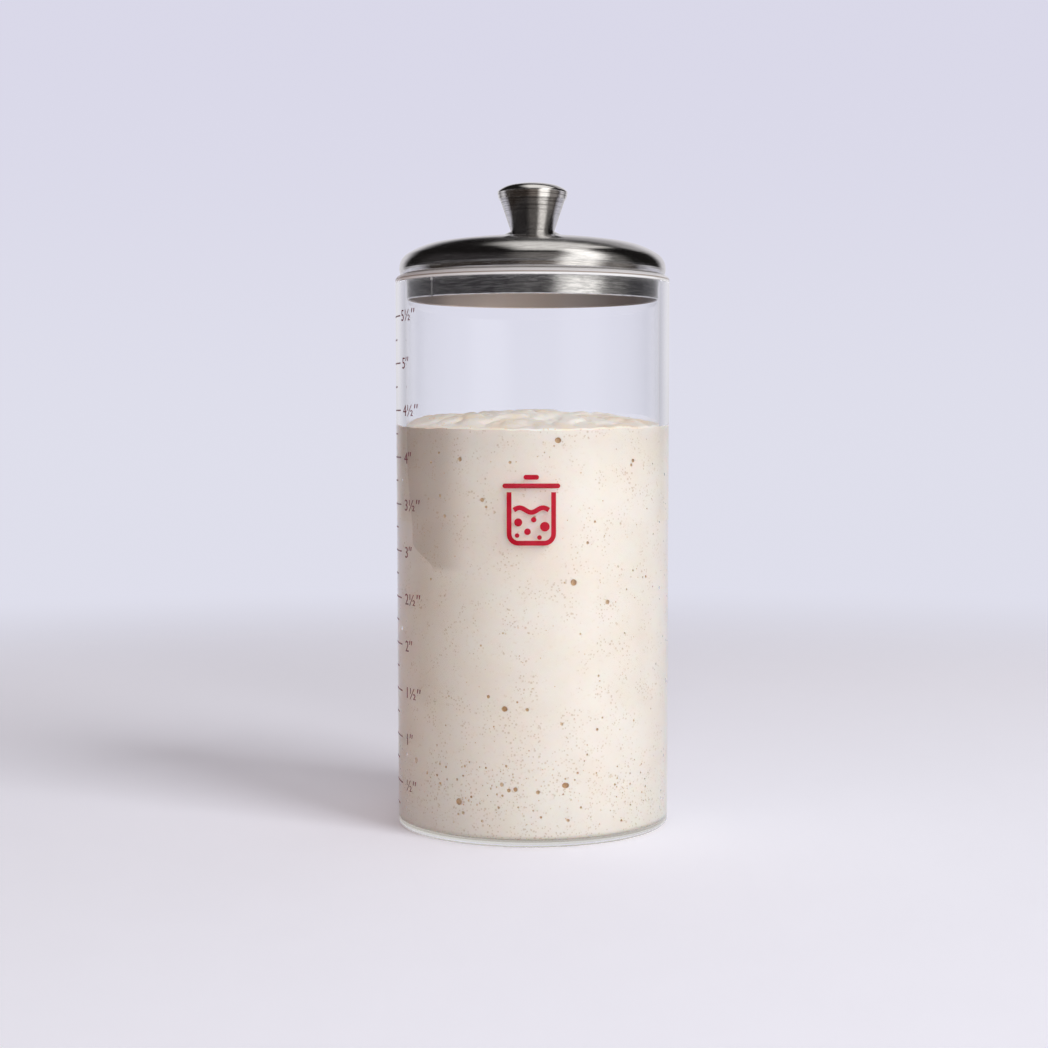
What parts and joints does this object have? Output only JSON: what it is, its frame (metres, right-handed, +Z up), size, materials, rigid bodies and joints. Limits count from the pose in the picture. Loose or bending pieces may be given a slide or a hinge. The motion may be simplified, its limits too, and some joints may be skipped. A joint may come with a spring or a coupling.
{
  "type": "sourdough starter jar",
  "caption": "Straight clear glass jar with an inch scale up its side, filled with sourdough starter under a loose domed steel lid with a knob.",
  "frame": {"origin": "middle of the jar's base, on the surface that it stands on", "axes": "+Z up along the jar's axis; the front of the jar faces -Y, and the inch scale is on its left side, towards -X"},
  "size_m": [0.0752, 0.0752, 0.1765],
  "materials": {
    "clear_glass": "clear, glossy",
    "scale_ink": "printed ink",
    "starter_dough": "moist dough with bubbles",
    "dome_steel": "spun, satin",
    "skirt_steel": "brushed along its length",
    "knob_steel": "turned, satin",
    "cap_steel": "polished",
    "fixing_steel": "bright zinc"
  },
  "bodies": {
    "jar": {"glass_jar": "clear_glass", "half_inch_marks": "scale_ink", "quarter_inch_marks": "scale_ink", "starter": "starter_dough"},
    "lid": {"lid_dome": "dome_steel", "lid_skirt": "skirt_steel", "knob_seat": "knob_steel", "knob_cone": "knob_steel", "knob_cap": "cap_steel", "knob_insert": "fixing_steel", "knob_screw": "fixing_steel", "screw_washer": "fixing_steel"}
  },
  "joints": [
    {"name": "lid_lift", "type": "slide", "parent": "jar", "child": "lid", "axis": [0, 0, 1], "range_m": [0, 0.06]}
  ]
}
